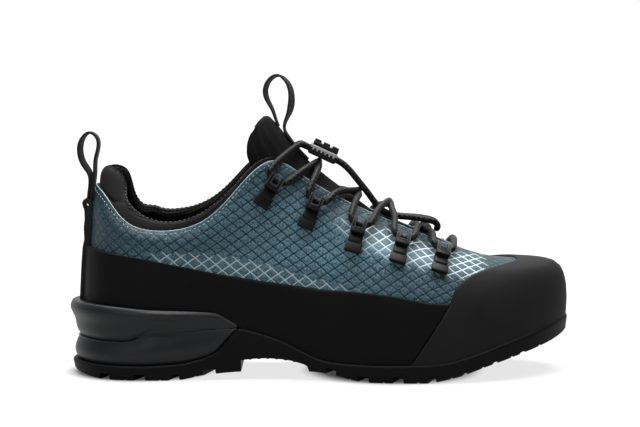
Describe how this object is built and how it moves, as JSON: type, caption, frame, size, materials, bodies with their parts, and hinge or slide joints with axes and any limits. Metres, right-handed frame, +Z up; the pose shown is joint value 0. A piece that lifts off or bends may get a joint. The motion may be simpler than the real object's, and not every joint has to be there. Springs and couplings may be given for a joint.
{
  "type": "hiking shoe",
  "caption": "Low right hiking shoe with a lugged rubber outsole, foam heel wedge, rubber rand and toe cap, ripstop fabric upper and a quick lace with cord lock.",
  "frame": {"origin": "on the floor, under the middle of the shoe's length and width", "axes": "+X towards the toe, +Y to the medial side, +Z up"},
  "size_m": [0.2999, 0.1069, 0.1777],
  "materials": {
    "outsole_rubber": "matt black rubber",
    "wedge_foam": "satin dark grey foam",
    "rand_rubber": "matt black rubber",
    "cap_rubber": "matt charcoal rubber",
    "ripstop_fabric": "blue grey fabric with a dark diamond grid",
    "cuff_fabric": "matt black fabric",
    "insole_foam": "matt dark grey fabric on foam",
    "webbing": "black woven webbing",
    "lace_cord": "black braided cord",
    "loop_plastic": "black moulded plastic"
  },
  "bodies": {
    "root": {"collar_cuff": "cuff_fabric", "cord_lock_body": "loop_plastic", "cord_lock_slider": "loop_plastic", "heel_pull_loop": "webbing", "heel_strap": "webbing", "heel_wedge": "wedge_foam", "insole": "insole_foam", "lace_bar": "lace_cord", "lace_crossing_1": "lace_cord", "lace_crossing_2": "lace_cord", "lace_crossing_3": "lace_cord", "lace_crossing_4": "lace_cord", "lace_end_lateral": "lace_cord", "lace_end_medial": "lace_cord", "lace_loop_lateral_1": "loop_plastic", "lace_loop_lateral_2": "loop_plastic", "lace_loop_lateral_3": "loop_plastic", "lace_loop_lateral_4": "loop_plastic", "lace_loop_lateral_5": "loop_plastic", "lace_loop_medial_1": "loop_plastic", "lace_loop_medial_2": "loop_plastic", "lace_loop_medial_3": "loop_plastic", "lace_loop_medial_4": "loop_plastic", "lace_loop_medial_5": "loop_plastic", "lace_tab_lateral_1": "webbing", "lace_tab_lateral_2": "webbing", "lace_tab_lateral_3": "webbing", "lace_tab_lateral_4": "webbing", "lace_tab_lateral_5": "webbing", "lace_tab_medial_1": "webbing", "lace_tab_medial_2": "webbing", "lace_tab_medial_3": "webbing", "lace_tab_medial_4": "webbing", "lace_tab_medial_5": "webbing", "lace_tail": "lace_cord", "outsole": "outsole_rubber", "rand": "rand_rubber", "toe_cap": "cap_rubber", "tongue": "cuff_fabric", "tongue_pull_loop": "webbing", "upper": "ripstop_fabric"}
  },
  "joints": []
}
